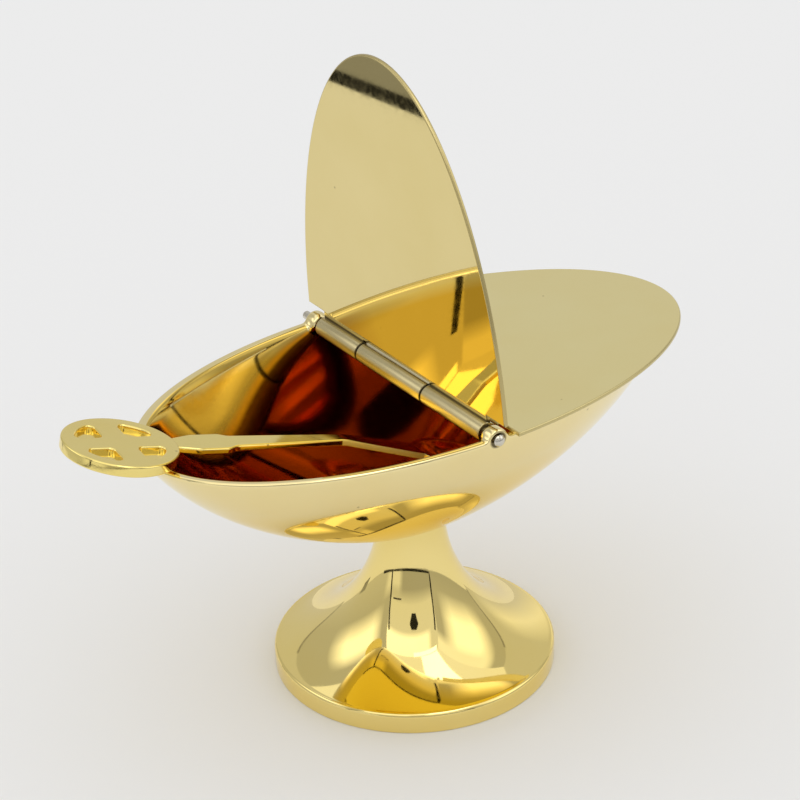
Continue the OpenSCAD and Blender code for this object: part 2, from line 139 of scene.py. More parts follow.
PIN_HEIGHT = RIM_HEIGHT + PLATE_THICK / 2 - PLATE_RISE
HINGE = Vector((-HINGE_OFFSET, 0.0, PIN_HEIGHT))
RIM_OVER_PIN = RIM_HEIGHT - PIN_HEIGHT
EAR_REACH = math.sqrt((EAR_RADIUS + EAR_FILLET) ** 2 - (RIM_OVER_PIN + EAR_FILLET) ** 2)
PLATE_START = EAR_REACH + EAR_CLEARANCE
PLATE_EDGE = KNUCKLE_RADIUS + PLATE_GAP
BARREL_HALF = HALF_WIDTH - EAR_THICK - EAR_GAP
MIDDLE_FRONT = MIDDLE_SHIFT - MIDDLE_LENGTH / 2
MIDDLE_BACK = MIDDLE_SHIFT + MIDDLE_LENGTH / 2
KNUCKLES = {
    "lid_knuckle_front": (-BARREL_HALF, MIDDLE_FRONT - KNUCKLE_GAP),
    "cover_knuckle": (MIDDLE_FRONT, MIDDLE_BACK),
    "lid_knuckle_back": (MIDDLE_BACK + KNUCKLE_GAP, BARREL_HALF),
}
KNUCKLE_JOINTS = (MIDDLE_FRONT - KNUCKLE_GAP / 2, MIDDLE_BACK + KNUCKLE_GAP / 2)

HANDLE_STEP = (MEDALLION_THICK - HANDLE_THICK) / 2
HANDLE_WIDTHS = (
    (MEDALLION_RADIUS, NECK_WIDTH),
    (MEDALLION_RADIUS + SHOULDER_RISE, SHOULDER_WIDTH),
    (MEDALLION_RADIUS + SHOULDER_LENGTH, SHOULDER_WIDTH),
    (MEDALLION_RADIUS + SHOULDER_LENGTH + SHOULDER_TAPER, HANDLE_WIDTH),
    (BEND_AT, WAIST_WIDTH),
    (BEND_AT + TAIL_LENGTH, TAIL_WIDTH),
)
BEND_OUTER = BEND_RADIUS + HANDLE_THICK
DISH_RADIUS = ((DISH_WIDTH / 2) ** 2 + DISH_DEPTH ** 2) / (2 * DISH_DEPTH)


def medallion_height():
    """Height of the medallion's upper face, which follows from the rim that it lies on."""
    turn = math.radians(SPOON_TURN)
    slope = math.radians(SPOON_SLOPE)
    along = Vector((math.cos(turn), -math.sin(turn)))
    lift = 0.0
    for length, width in ((HALF_LENGTH, HALF_WIDTH), (INNER_LENGTH, INNER_WIDTH)):
        for step in range(-90, 91):
            angle = math.radians(step / 2)
            away = Vector((-length * math.cos(angle), width * math.sin(angle))) - MEDALLION_SPOT
            if away.length < MEDALLION_RADIUS:
                lift = max(lift, away.dot(along) * math.tan(slope))
    return RIM_HEIGHT + SPOON_CLEARANCE + MEDALLION_THICK / math.cos(slope) + lift


MEDALLION_TOP = Vector((*MEDALLION_SPOT, medallion_height()))


# Mesh helpers

def arc(centre, radius, start, end, steps):
    """Points of an arc in a half section, from start to end in degrees."""
    out = []
    for i in range(steps + 1):
        angle = math.radians(start + (end - start) * i / steps)
        out.append((centre[0] + radius * math.cos(angle), centre[1] + radius * math.sin(angle)))
    return out


def soft_corner(before, corner, after, steps=6):
    """Points that round a corner between two neighbours."""
    out = []
    for i in range(steps + 1):
        share = i / steps
        rest = 1 - share
        out.append(tuple(
            rest ** 2 * first + 2 * share * rest * middle + share ** 2 * last
            for first, middle, last in zip(before, corner, after)
        ))
    return out


def make_piece(name, verts, faces, place, body, node, material, sharp=35.0, flats=False):
    """A mesh from millimetre points, placed, smooth except on sharp edges; flats stay true mirrors."""
    mesh = bpy.data.meshes.new(name)
    mesh.from_pydata([(place @ Vector(v)) * MM for v in verts], [], faces)
    bm = bmesh.new()
    bm.from_mesh(mesh)
    bmesh.ops.recalc_face_normals(bm, faces=bm.faces)
    bm.to_mesh(mesh)
    bm.free()
    mesh.set_sharp_from_angle(angle=math.radians(sharp))
    mesh.materials.append(material)
    piece = bpy.data.objects.new(name, mesh)
    scene.collection.objects.link(piece)
    if flats:
        level = piece.modifiers.new("flats", "WEIGHTED_NORMAL")
        level.weight = 100
        level.keep_sharp = True
    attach(piece, body)
    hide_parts(node)
    return piece


def mark(piece, name, values):
    """A number for each point of a piece, for its material."""
    attribute = piece.data.attributes.new(name, "FLOAT", "POINT")
    for item, value in zip(attribute.data, values):
        item.value = value


def turned(rings, angles, closed=False):
    """Rings of (half length, half width, height) joined round Z; a ring of size 0 is one point."""
    verts, faces, index = [], [], []
    for length, width, z in rings:
        row = []
        if width < 1e-6:
            verts.append((0.0, 0.0, z))
            row = [len(verts) - 1] * len(angles)
        else:
            for angle in angles:
                verts.append((length * math.cos(angle), width * math.sin(angle), z))
                row.append(len(verts) - 1)
        index.append(row)
    pairs = list(zip(index, index[1:]))
    if closed:
        pairs.append((index[-1], index[0]))
    for low, high in pairs:
        for i in range(len(angles)):
            j = (i + 1) % len(angles)
            corners = []
            for v in (low[i], low[j], high[j], high[i]):
                if v not in corners:
                    corners.append(v)
            if len(corners) > 2:
                faces.append(corners)
    return verts, faces


def even_angles(steps):
    return [2 * math.pi * i / steps for i in range(steps)]


def round_rings(points):
    return [(r, r, z) for r, z in points]


def oval_rings(points, length, width):
    """Rings of a half section that is stretched from a half width to a half length."""
    return [(r * length / width, r, z) for r, z in points]


def along_y(verts):
    """Turns a lathe piece from the Z axis to the hinge's axis."""
    return [(x, z, -y) for x, y, z in verts]


def inset(outline, amount):
    """The outline moved inwards by an amount, with mitred corners."""
    sharpest = 0.3
    out = []
    count = len(outline)
    for i in range(count):
        point = Vector(outline[i])
        before = (point - Vector(outline[i - 1])).normalized()
        after = (Vector(outline[(i + 1) % count]) - point).normalized()
        left = Vector((-before.y, before.x))
        inwards = (left + Vector((-after.y, after.x))).normalized()
        out.append(point + inwards * (amount / max(inwards.dot(left), sharpest)))
    return out


def rounded_plate(outline, thickness, rounding, steps=4):
    """A flat plate from an anticlockwise outline, with round edges and its middle at height 0."""
    half = thickness / 2
    levels = []
    for i in range(steps + 1):
        angle = math.pi / 2 * (1 - i / steps)
        levels.append((rounding * (1 - math.cos(angle)), half - rounding + rounding * math.sin(angle)))
    levels += [(amount, -z) for amount, z in reversed(levels)]
    verts, faces, count = [], [], len(outline)
    for amount, z in levels:
        verts += [(p.x, p.y, z) for p in inset(outline, amount)]
    faces.append(list(range(count)))
    for level in range(len(levels) - 1):
        for i in range(count):
            j = (i + 1) % count
            base = level * count
            faces.append([base + i, base + count + i, base + count + j, base + j])
    faces.append(list(range((len(levels) - 1) * count, len(levels) * count))[::-1])
    return verts, faces


# Materials

class Nodes:
    """Short hand for building a node tree."""

    def __init__(self, tree):
        self.tree = tree
        tree.nodes.clear()

    def add(self, kind, inputs=None, **settings):
        node = self.tree.nodes.new(kind)
        for key, value in settings.items():
            setattr(node, key, value)
        for key, value in (inputs or {}).items():
            if isinstance(value, bpy.types.NodeSocket):
                self.tree.links.new(value, node.inputs[key])
            else:
                node.inputs[key].default_value = value
        return node


def rgba(sockets):
    return [socket for socket in sockets if socket.type == "RGBA"]


def blend(n, factor, first, second):
    """Colour between two colours or sockets, by a factor socket."""
    mix = n.add("ShaderNodeMix", {"Factor": factor}, data_type="RGBA")
    for socket, value in zip(rgba(mix.inputs), (first, second)):
        if isinstance(value, bpy.types.NodeSocket):
            n.tree.links.new(value, socket)
        else:
            socket.default_value = (*value, 1)
    return rgba(mix.outputs)[0]


def ramp(n, value, low, high, start, end):
    """A number that runs from start to end while the value runs from low to high."""
    return n.add("ShaderNodeMapRange", {
        "Value": value, "From Min": low, "From Max": high, "To Min": start, "To Max": end}).outputs["Result"]


def reckon(n, operation, *values):
    return n.add("ShaderNodeMath", dict(enumerate(values)), operation=operation).outputs[0]


def arrow(n, operation, *values):
    """A vector made from vectors."""
    return n.add("ShaderNodeVectorMath", dict(enumerate(values)), operation=operation).outputs["Vector"]


def noise(n, where, scale, detail):
    return n.add("ShaderNodeTexNoise", {"Vector": where, "Scale": scale, "Detail": detail}).outputs["Fac"]


def marked(n, name):
    """The number that mark() gave to the points of a piece."""
    return n.add("ShaderNodeAttribute", attribute_name=name).outputs["Fac"]


# Painted shade: the colour of the shaded gaps round the hinge pin, along the lid's edge at the barrel and
# between the knuckles
GAP_SHADE = (0.05, 0.035, 0.015)
SPECK = (0.16, 0.11, 0.05)
# Texture scales are in cells per metre, ranges are parts of a texture's values
DRIFT_SCALE = 45.0
DRIFT_RANGE = (0.3, 0.7)
SPECK_SCALE = 90.0
SPECK_RANGE = (0.02, 0.035)
BUFF_SCALE = 900.0
BUFF_RANGE = (0.3, 0.75)
# How fully the painted shade in the hinge's gaps covers the metal
GAP_SHADE_COVER = 0.9
# Depth of the buffing lines, and how dull a sheared edge is beside the plate's face
BUFF_DEPTH = 0.00002
SHEARED_ROUGH = 0.25
# Where the tints of the hull change: heights outside, under which a painted reflection of shade darkens the
# lower hull, heights under the rim, under which a deeper inside tint starts that is partly lacquer and
# partly painted shade, and lengths inside, past which painted shade darkens the closed half under the cover
LOWER_HULL = (50.0, 62.0)
RIM_ZONE = (69.0, 71.5)
CLOSED_HALF = (-14.0, 2.0)
# Depths under the pin's axis where painted shade darkens the barrel, and half widths of the painted shade in
# its joints
BARREL_SHADE = (1.2, 0.8)
JOINT_SHADE = (0.3, 0.5)


def hull_zones(n, place, base, low_reflected_shade, inside):
    """The hull's colour: a painted reflection of shade on the lower hull, the rim, a deeper inside tint that
    is partly lacquer and partly painted shade, and painted shade on the closed half under the cover.
    """
    rim, open_half_lacquer_and_shade, closed_half_shade = inside
    # Painted reflection of shade: the lower hull turns a deeper gold
    outer = blend(n, ramp(n, place["Z"], LOWER_HULL[0] * MM, LOWER_HULL[1] * MM, 1.0, 0.0), base, low_reflected_shade)
    # Inside under the rim: a deeper tint, partly lacquer and partly painted shade
    inner = blend(n, ramp(n, place["Z"], RIM_ZONE[0] * MM, RIM_ZONE[1] * MM, 1.0, 0.0), rim, open_half_lacquer_and_shade)
    # Painted shade on the closed half, under the cover
    covered = ramp(n, place["X"], CLOSED_HALF[0] * MM, CLOSED_HALF[1] * MM, 0.0, 1.0)
    return blend(n, marked(n, "inside"), outer, blend(n, covered, inner, closed_half_shade))


def pin_gap_shade(n, where, base, shade_ring):
    """Painted shade round the pin's axis, between two distances from it, for the shaded gaps at the pin's
    head, by the ears and along the lid's edge at the barrel.
    """
    away = arrow(n, "SUBTRACT", where, HINGE * MM)
    across = arrow(n, "MULTIPLY", away, (1, 0, 1))
    reach = n.add("ShaderNodeVectorMath", {0: across}, operation="LENGTH").outputs["Value"]
    return blend(n, ramp(n, reach, shade_ring[0] * MM, shade_ring[1] * MM, GAP_SHADE_COVER, 0.0), base, GAP_SHADE)


def metal(name, tint, shade, rough, ripple, ripple_size, grain=(1, 1, 1), specks=0.0,
          low_reflected_shade=None, inside=None, shade_ring=None, underside_shade=None, joints=(), filed=0.0, sheared=None):
    """Polished metal: tone drift, uneven gloss, slight waviness, fine buffing lines and a few specks, and
    where asked, painted shade and a painted reflection in set zones.
    """
    material = bpy.data.materials.new(name)
    material.use_nodes = True
    n = Nodes(material.node_tree)
    where = n.add("ShaderNodeTexCoord").outputs["Object"]
    place = n.add("ShaderNodeSeparateXYZ", {0: where}).outputs
    base = blend(n, ramp(n, noise(n, where, DRIFT_SCALE, 3.0), *DRIFT_RANGE, 0.0, 1.0), tint, shade)
    # The hull's zones: a painted reflection of shade low outside, and a deeper inside tint, partly lacquer
    # and partly painted shade
    if inside:
        base = hull_zones(n, place, base, low_reflected_shade, inside)
    # Painted shade: the barrel turns dark under the pin's axis
    if underside_shade:
        low, high = ((PIN_HEIGHT - depth) * MM for depth in BARREL_SHADE)
        base = blend(n, ramp(n, place["Z"], low, high, 1.0, 0.0), base, underside_shade)
    if sheared:
        base = blend(n, marked(n, "edge"), base, sheared)
    if specks:
        cells = n.add("ShaderNodeTexVoronoi", {"Vector": where, "Scale": SPECK_SCALE}).outputs["Distance"]
        base = blend(n, ramp(n, cells, *SPECK_RANGE, specks, 0.0), base, SPECK)
    # Painted shade in a ring round the pin's axis
    if shade_ring:
        base = pin_gap_shade(n, where, base, shade_ring)
    # Painted shade in the gaps between the hinge's knuckles
    for joint in joints:
        off = reckon(n, "ABSOLUTE", reckon(n, "SUBTRACT", place["Y"], joint * MM))
        low, high = (half * MM for half in JOINT_SHADE)
        base = blend(n, ramp(n, off, low, high, GAP_SHADE_COVER, 0.0), base, GAP_SHADE)
    lines = n.add("ShaderNodeMapping", {"Vector": where, "Scale": grain}).outputs["Vector"]
    buff = noise(n, lines, BUFF_SCALE, 4.0)
    gloss = ramp(n, buff, *BUFF_RANGE, *rough)
    if sheared:
        gloss = reckon(n, "MULTIPLY_ADD", marked(n, "edge"), SHEARED_ROUGH, gloss)
    if filed:
        gloss = reckon(n, "MULTIPLY_ADD", marked(n, "filed"), filed, gloss)
    wave = noise(n, where, 1 / (ripple_size * MM), 1.0)
    swell = n.add("ShaderNodeBump", {"Height": wave, "Strength": 1.0, "Distance": ripple * MM})
    fine = n.add("ShaderNodeBump", {
        "Height": buff, "Strength": 1.0, "Distance": BUFF_DEPTH * MM, "Normal": swell.outputs["Normal"]})
    shader = n.add("ShaderNodeBsdfPrincipled", {
        "Base Color": base, "Roughness": gloss, "Metallic": 1.0, "Normal": fine.outputs["Normal"]})
    n.add("ShaderNodeOutputMaterial", {"Surface": shader.outputs["BSDF"]})
    return material


# Hull: a painted reflection of shade low outside, a deeper inside tint that is partly lacquer and partly
# painted shade, painted shade under the cover, and a painted shade ring round the pin
hull_brass = metal(
    "hull_brass", (0.95, 0.81, 0.43), (0.94, 0.78, 0.38), rough=(0.03, 0.07), ripple=0.01, ripple_size=30,
    specks=0.5, low_reflected_shade=(0.94, 0.66, 0.06), shade_ring=(1.7, 2.2),
    inside=((0.95, 0.78, 0.33), (0.88, 0.58, 0.09), (0.52, 0.23, 0.045)))
foot_brass = metal(
    "foot_brass", (0.94, 0.76, 0.30), (0.93, 0.73, 0.25), rough=(0.03, 0.07), ripple=0.006, ripple_size=25)
plate_brass = metal(
    "plate_brass", (0.95, 0.83, 0.41), (0.94, 0.80, 0.37), rough=(0.02, 0.05), ripple=0.012, ripple_size=30,
    specks=0.6, sheared=(0.62, 0.52, 0.24))
# Lid: a darker copy of the cover's brass, as painted shade, with a painted shade strip along its edge by the
# barrel
lid_shaded_brass = metal(
    "lid_shaded_brass", (0.82, 0.68, 0.31), (0.79, 0.65, 0.28), rough=(0.02, 0.05), ripple=0.012, ripple_size=30,
    specks=0.6, shade_ring=(2.7, 3.1), sheared=(0.55, 0.45, 0.20))
# Barrel: painted shade on its lower side and in the knuckle joints
hinge_brass = metal(
    "hinge_brass", (0.70, 0.60, 0.33), (0.58, 0.49, 0.26), rough=(0.22, 0.40), ripple=0.004, ripple_size=8,
    grain=(1, 0.03, 1), underside_shade=(0.08, 0.045, 0.015), joints=KNUCKLE_JOINTS)
spoon_brass = metal(
    "spoon_brass", (0.95, 0.78, 0.28), (0.93, 0.74, 0.23), rough=(0.08, 0.18), ripple=0.012, ripple_size=9,
    specks=0.5)
handle_brass = metal(
    "handle_brass", (0.95, 0.78, 0.27), (0.93, 0.74, 0.22), rough=(0.08, 0.16), ripple=0.012, ripple_size=9,
    specks=0.5, filed=0.65)
pin_steel = metal(
    "pin_steel", (0.74, 0.70, 0.60), (0.62, 0.58, 0.48), rough=(0.14, 0.28), ripple=0.004, ripple_size=6,
    grain=(1, 0.05, 1))
fixing_steel = metal(
    "fixing_steel", (0.60, 0.60, 0.59), (0.48, 0.47, 0.45), rough=(0.22, 0.40), ripple=0.006, ripple_size=5,
    specks=0.5)


# Bowl

def hull_points(side, keel):
    """Half section from the keel up to the rim."""
    low = arc(KEEL_CENTRE, keel, -90, -KEEL_LEAN, 28)
    top = math.degrees(math.asin((RIM_HEIGHT - SIDE_CENTRE[1]) / side))
    return low + arc(SIDE_CENTRE, side, -KEEL_LEAN, top, 48)[1:]


def ear_rise(x):
    """Height of the rim's outline over the rim, near an ear."""
    away = abs(x - HINGE.x)
    if away >= EAR_REACH:
        return 0.0
    if away > EAR_REACH * EAR_RADIUS / (EAR_RADIUS + EAR_FILLET):
        return EAR_FILLET - math.sqrt(EAR_FILLET ** 2 - (EAR_REACH - away) ** 2)
    return math.sqrt(EAR_RADIUS ** 2 - away ** 2) - RIM_OVER_PIN


def hull_angles():
    """Angles round the hull, close together where the two ears rise."""
    ear_angles = (90.8, 269.2)
    fine_step = 0.16
    fine_steps = 30
    angles = set(round(math.degrees(angle), 4) for angle in even_angles(288))
    for centre in ear_angles:
        angles.update(round(centre + fine_step * k, 4) for k in range(-fine_steps, fine_steps + 1))
    return [math.radians(angle) for angle in sorted(angles)]


def build_bowl():
    lip = 1.1
    ring_gap = 0.3
    outer_stretch = 1.85
    inner_stretch = 1.9
    wall_at_rim = 2.3
    below_lip = RIM_HEIGHT - lip - ring_gap
    lean = math.tan(math.radians(RIM_LEAN)) * lip
    outer = oval_rings(hull_points(SIDE_RADIUS, KEEL_RADIUS), HALF_LENGTH, HALF_WIDTH)
    inner = oval_rings(hull_points(SIDE_RADIUS - WALL, KEEL_RADIUS - WALL), INNER_LENGTH, INNER_WIDTH)
    outer = [ring for ring in outer if ring[2] < below_lip]
    inner = [ring for ring in inner if ring[2] < below_lip]
    outer_lip = soft_corner(
        (HALF_LENGTH - lean * outer_stretch, HALF_WIDTH - lean, RIM_HEIGHT - lip),
        (HALF_LENGTH, HALF_WIDTH, RIM_HEIGHT),
        (HALF_LENGTH - lip, HALF_WIDTH - lip, RIM_HEIGHT))
    inner_lip = soft_corner(
        (INNER_LENGTH + lip, INNER_WIDTH + lip, RIM_HEIGHT),
        (INNER_LENGTH, INNER_WIDTH, RIM_HEIGHT),
        (INNER_LENGTH - lean * inner_stretch, INNER_WIDTH - lean, RIM_HEIGHT - lip))
    angles = hull_angles()
    verts, faces = turned(outer + outer_lip + inner_lip + inner[::-1], angles)
    lip_start = len(outer)
    inner_start = lip_start + len(outer_lip)
    lip_end = inner_start + len(inner_lip)
    moved = []
    for i, (x, y, z) in enumerate(verts):
        ring = 0 if i == 0 else 1 + (i - 1) // len(angles)
        if lip_start <= ring < lip_end:
            rise = ear_rise(x)
            if ring >= inner_start:
                y -= math.copysign((EAR_THICK - wall_at_rim) * min(rise, 1.0), y)
            z += rise
        moved.append((x, y, z))
    shell = make_piece("bowl_shell", moved, faces, Matrix(), "boat", "bowl", hull_brass)
    mark(shell, "inside", [float(i > (lip_end - 1) * len(angles)) for i in range(len(moved))])


build_bowl()


# Foot and its fixing

def build_foot():
    rest_round = 0.4
    hollow_round = 0.3
    neck_end = 181.3
    hole = STUD_RADIUS + STUD_CLEARANCE
    hole_top = KEEL_HEIGHT + 1.8
    low = math.degrees(math.atan2(BAND_HEIGHT - FLARE_CENTRE[1], FOOT_EDGE - FLARE_CENTRE[0])) % 360
    outside = soft_corner((FOOT_RADIUS - rest_round, 0), (FOOT_RADIUS, 0), (FOOT_RADIUS, rest_round), 4)
    outside += arc((FOOT_EDGE, BAND_HEIGHT - BAND_ROUND), BAND_ROUND, 0, 90, 8)
    outside += arc(FLARE_CENTRE, FLARE_RADIUS, low, neck_end, 96)[1:]
    hollow_radius = FLARE_RADIUS + FOOT_WALL
    hollow_top = math.degrees(math.asin((WEB_BOTTOM - FLARE_CENTRE[1]) / hollow_radius))
    reach = FOOT_RADIUS - FOOT_WALL
    hollow_low = math.degrees(math.acos((reach - FLARE_CENTRE[0]) / hollow_radius))
    inside = [(hole, hole_top), (hole, WEB_BOTTOM)]
    inside += arc(FLARE_CENTRE, hollow_radius, 180 - hollow_top, 360 - hollow_low, 64)
    inside += soft_corner((reach, hollow_round), (reach, 0), (reach + hollow_round, 0), 3)
    verts, faces = turned(round_rings(outside + inside), even_angles(256), closed=True)
    make_piece("foot_trumpet", verts, faces, Matrix(), "boat", "foot", foot_brass)


def build_stud():
    """The stud, with ring grooves for its thread."""
    end_radius = 1.9
    root_radius = 2.05
    pitch = 0.8
    groove, crest_start, crest_end = 0.1, 0.4, 0.5
    thread_top = WEB_BOTTOM + 0.8
    stud_top = KEEL_HEIGHT + 0.1
    points = [(0.0, STUD_BOTTOM), (end_radius, STUD_BOTTOM)]
    z = STUD_BOTTOM
    while z < thread_top:
        points += [(root_radius, z + groove), (STUD_RADIUS, z + crest_start), (STUD_RADIUS, z + crest_end)]
        z += pitch
    points += [(STUD_RADIUS, stud_top), (0.0, stud_top)]
    verts, faces = turned(round_rings(points), even_angles(64))
    make_piece("bowl_stud_thread", verts, faces, Matrix(), "boat", "bowl_stud", foot_brass)


def finish_fixing():
    """Worn edges and a steel finish for the washer and the nut, which keep their CAD shapes."""
    for name in ("foot_washer", "foot_nut"):
        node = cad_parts[name]
        node.data.materials.clear()
        node.data.materials.append(fixing_steel)
        bevel = node.modifiers.new("worn_edges", "BEVEL")
        bevel.width = 0.25 * MM
        bevel.segments = 3
        bevel.limit_method = "ANGLE"


build_foot()
build_stud()
finish_fixing()


# Cover, lid and hinge

def plate_outline(reach, tongues):
    """Half oval on the -X side, cut back past the ears, with tongues up to the barrel, anticlockwise."""
    steps = 192
    tongue_tip = 1.95
    tongue_side = 0.01
    swing = math.acos(PLATE_START / reach)
    points = []
    for i in range(steps + 1):
        angle = swing - 2 * swing * i / steps
        points.append((-reach * math.cos(angle), PLATE_HALF * math.sin(angle)))
    points += [(-PLATE_START, -BARREL_HALF), (-PLATE_EDGE, -BARREL_HALF)]
    for front, back in tongues:
        front += tongue_side
        back -= tongue_side
        points += [(-PLATE_EDGE, front), (-tongue_tip, front), (-tongue_tip, back), (-PLATE_EDGE, back)]
    return points + [(-PLATE_EDGE, BARREL_HALF), (-PLATE_START, BARREL_HALF)]


def build_plate(name, outline, place, body, node, material, mirrored=False):
    verts, faces = rounded_plate(outline, PLATE_THICK, PLATE_ROUND)
    if mirrored:
        verts = [(-x, y, z) for x, y, z in verts]
    piece = make_piece(name, verts, faces, place, body, node, material,
                       sharp=50, flats=True)
    flat = len(outline)
    mark(piece, "edge", [float(flat <= i < len(verts) - flat) for i in range(len(verts))])


def build_plates():
    at_hinge = Matrix.Translation(HINGE)
    raised = Matrix.Translation((0, 0, PLATE_RISE))
    lid = plate_outline(LID_REACH, (KNUCKLES["lid_knuckle_front"], KNUCKLES["lid_knuckle_back"]))
    turn = Matrix.Rotation(math.radians(LID_OPEN), 4, "Y")
    build_plate("lid_plate", lid, at_hinge @ turn @ raised, "lid", "lid", lid_shaded_brass)
    cover = plate_outline(COVER_REACH, (KNUCKLES["cover_knuckle"],))
    build_plate("cover_plate", cover, at_hinge @ raised, "boat", "fixed_cover", plate_brass, mirrored=True)


def build_knuckles():
    edge = 0.2
    bore = PIN_RADIUS + PIN_CLEARANCE
    side = KNUCKLE_RADIUS
    face = KNUCKLE_RADIUS - edge
    place = Matrix.Translation(HINGE)
    for name, (front, back) in KNUCKLES.items():
        points = [(bore, front), (face, front)]
        points += soft_corner((face, front), (side, front), (side, front + edge), 3)[1:]
        points += soft_corner((side, back - edge), (side, back), (face, back), 3)
        points += [(bore, back)]
        verts, faces = turned(round_rings(points), even_angles(96), closed=True)
        body = "boat" if name == "cover_knuckle" else "lid"
        make_piece(name + "_tube", along_y(verts), faces, place, body, name, hinge_brass)


def build_pin():
    """The hinge pin, with a domed head at the front and a plain end at the back."""
    end = HALF_WIDTH + PIN_END
    crown = -HALF_WIDTH - PIN_HEAD_HIGH
    dome = (PIN_HEAD_RADIUS ** 2 + PIN_HEAD_HIGH ** 2) / (2 * PIN_HEAD_HIGH)
    low = math.degrees(math.asin((dome - PIN_HEAD_HIGH) / dome))
    points = [(0.0, crown)] + arc((0, crown + dome), dome, -90, -low, 10)[1:]
    points += [(PIN_RADIUS, -HALF_WIDTH)]
    points += soft_corner((PIN_RADIUS, end - PIN_BEVEL), (PIN_RADIUS, end), (PIN_RADIUS - PIN_BEVEL, end), 4)
    points += [(0.0, end)]
    verts, faces = turned(round_rings(points), even_angles(64))
    place = Matrix.Translation(HINGE)
    make_piece("hinge_pin_wire", along_y(verts), faces, place, "boat", "hinge_pin", pin_steel)


build_plates()
build_knuckles()
build_pin()


# Spoon

in_boat = (Matrix.Translation(MEDALLION_TOP)
           @ Matrix.Rotation(math.radians(-SPOON_TURN), 4, "Z")
           @ Matrix.Rotation(math.radians(SPOON_SLOPE), 4, "Y"))
BEND_CENTRE = Vector((BEND_AT, 0, -HANDLE_STEP - BEND_OUTER))
at_dish = (in_boat @ Matrix.Translation(BEND_CENTRE)
           @ Matrix.Rotation(math.radians(BEND_ANGLE), 4, "Y")
           @ Matrix.Translation((TAIL_LENGTH + DISH_LENGTH / 2, 0, BEND_OUTER)))


def field_outline(turn):
    """Outline of one sunk field of the medallion."""
    inside = ARM_WIDTH / 2 + FIELD_ROUND
    reach = MEDALLION_RADIUS - RING_WIDTH - FIELD_ROUND
    far = math.sqrt(reach ** 2 - inside ** 2)
    tilt = math.degrees(math.atan2(inside, far))
    points = arc((inside, inside), FIELD_ROUND, 180, 270, 6)
    points += arc((far, inside), FIELD_ROUND, 270, 360 + tilt, 8)
    points += arc((0, 0), MEDALLION_RADIUS - RING_WIDTH, tilt, 90 - tilt, 24)[1:-1]
    points += arc((inside, far), FIELD_ROUND, 90 - tilt, 180, 8)
    cos, sin = math.cos(math.radians(turn)), math.sin(math.radians(turn))
    return [(x * cos - y * sin, x * sin + y * cos) for x, y in points]


def medallion_front(edge):
    """The medallion's disc with its four openings and round edges, as a mesh from a filled curve."""
    curve = bpy.data.curves.new("medallion_outline", "CURVE")
    curve.dimensions = "2D"
    curve.fill_mode = "BOTH"
    curve.extrude = (MEDALLION_THICK / 2 - edge) * MM
    curve.bevel_depth = edge * MM
    curve.bevel_resolution = 3
    curve.offset = -edge * MM
    outlines = [arc((0, 0), MEDALLION_RADIUS, 0, 360, 160)[:-1]] + [field_outline(90 * k) for k in range(4)]
    for outline in outlines:
        spline = curve.splines.new("POLY")
        spline.points.add(len(outline) - 1)
        for point, (x, y) in zip(spline.points, outline):
            point.co = (x * MM, y * MM, 0, 1)
        spline.use_cyclic_u = True
    holder = bpy.data.objects.new("medallion_outline", curve)
    scene.collection.objects.link(holder)
    drawn = holder.evaluated_get(bpy.context.evaluated_depsgraph_get())
    mesh = bpy.data.meshes.new_from_object(drawn)
    bpy.data.objects.remove(holder)
    return mesh


def build_medallion():
    """The front is cut at the fields' floor, the fields are closed there, and the side runs on down."""
    edge = 0.42
    side_width = 0.2
    bm = bmesh.new()
    bm.from_mesh(medallion_front(edge))
    bmesh.ops.remove_doubles(bm, verts=bm.verts, dist=0.001 * MM)
    floor = (MEDALLION_THICK / 2 - FIELD_DEPTH) * MM
    parts = bm.verts[:] + bm.edges[:] + bm.faces[:]
    bmesh.ops.bisect_plane(bm, geom=parts, plane_co=(0, 0, floor), plane_no=(0, 0, 1), clear_inner=True)
    rims = [e for e in bm.edges if e.is_boundary]
    side = [e for e in rims if e.verts[0].co.xy.length > (MEDALLION_RADIUS - side_width) * MM]
    bmesh.ops.holes_fill(bm, edges=[e for e in rims if e not in side])
    for radius, height in arc((MEDALLION_RADIUS - edge, -MEDALLION_THICK / 2 + edge), edge, 0, -90, 4):
        grown = bmesh.ops.extrude_edge_only(bm, edges=side)["geom"]
        side = [e for e in grown if isinstance(e, bmesh.types.BMEdge)]
        for v in {v for e in side for v in e.verts}:
            v.co.xy = v.co.xy.normalized() * radius * MM
            v.co.z = height * MM
    bmesh.ops.edgeloop_fill(bm, edges=side)
    bm.verts.index_update()
    verts = [tuple(v.co / MM - Vector((0, 0, MEDALLION_THICK / 2))) for v in bm.verts]
    faces = [[v.index for v in f.verts] for f in bm.faces]
    bm.free()
    make_piece(
        "spoon_medallion_disc", verts, faces, in_boat, "spoon", "spoon_medallion", spoon_brass,
        sharp=40, flats=True)


def handle_width(along):
    """Width of the handle at a distance from the medallion's centre."""
    for (start, first), (end, last) in zip(HANDLE_WIDTHS, HANDLE_WIDTHS[1:]):
        if along < end:
            share = min(max((along - start) / (end - start), 0.0), 1.0)
            return first + (last - first) * share
    return HANDLE_WIDTHS[-1][1]


